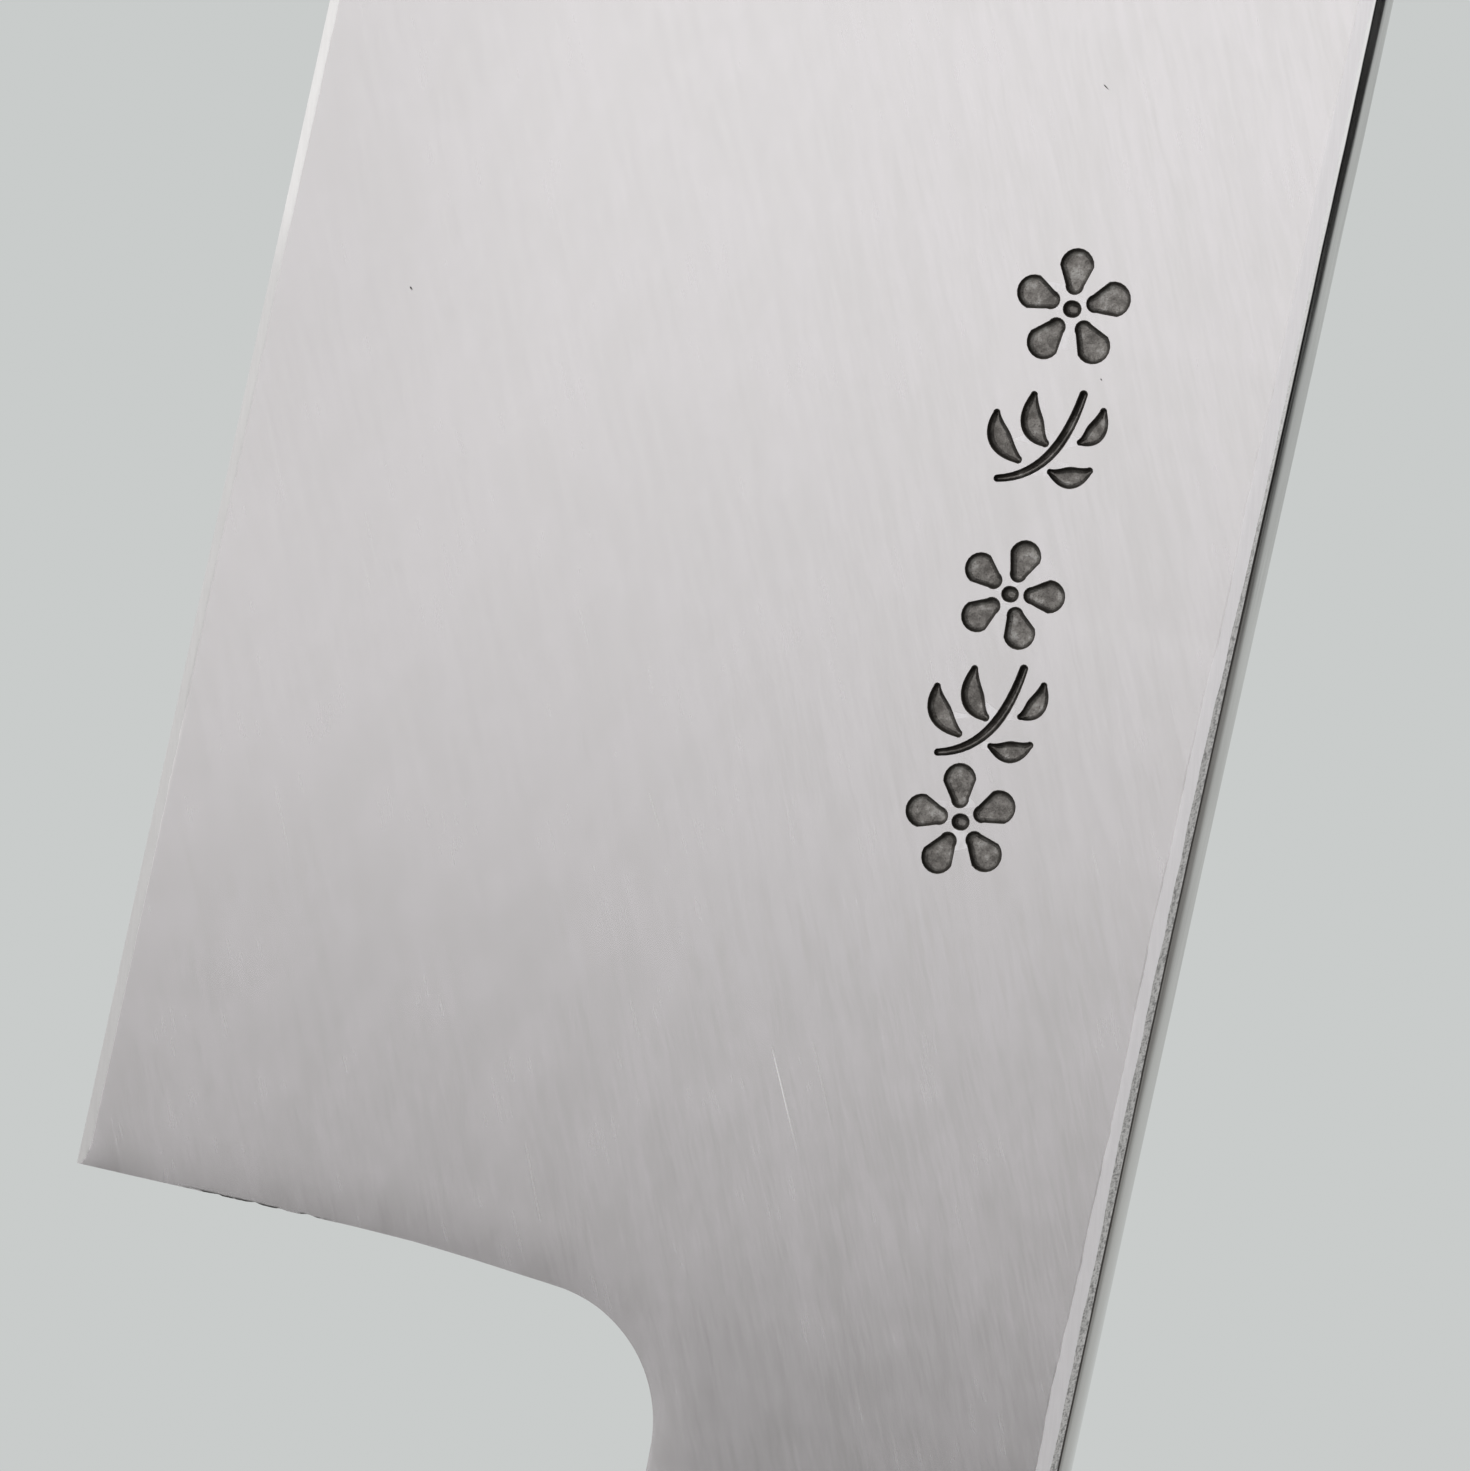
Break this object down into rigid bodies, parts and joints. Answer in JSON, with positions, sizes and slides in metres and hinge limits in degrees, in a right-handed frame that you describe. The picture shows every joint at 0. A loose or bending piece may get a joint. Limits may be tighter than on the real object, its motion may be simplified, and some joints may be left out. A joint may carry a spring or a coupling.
{
  "type": "usuba knife",
  "caption": "Right-handed Japanese vegetable knife: tall square-ended laminated blade with a hollow-ground back, a horn ferrule and a chestnut-section wooden handle.",
  "frame": {"origin": "middle of the knife's depth (spine to edge) and of its width, at the flat end face of the butt, on which it stands", "axes": "+Z from the butt of the handle to the square end of the blade, +X from the cutting edge toward the spine, -Y out of the hollow-ground back and +Y out of the bevelled front"},
  "size_m": [0.0515, 0.021, 0.34],
  "materials": {
    "hard_steel": "satin steel with fine lengthwise brushing and a few hairline scratches, filed at the rims",
    "soft_iron": "satin front flat and spine, misty stone-ground bevel, darker forged tang",
    "horn": "polished black water-buffalo horn with faint brown streaks",
    "magnolia": "bare, finely sanded magnolia wood with straight lengthwise grain",
    "resin": "dark brown resin, slightly dull"
  },
  "bodies": {
    "root": {"blade_steel": "hard_steel", "blade_iron": "soft_iron", "horn_ferrule": "horn", "wood_handle": "magnolia", "tang_seal": "resin"}
  },
  "joints": []
}
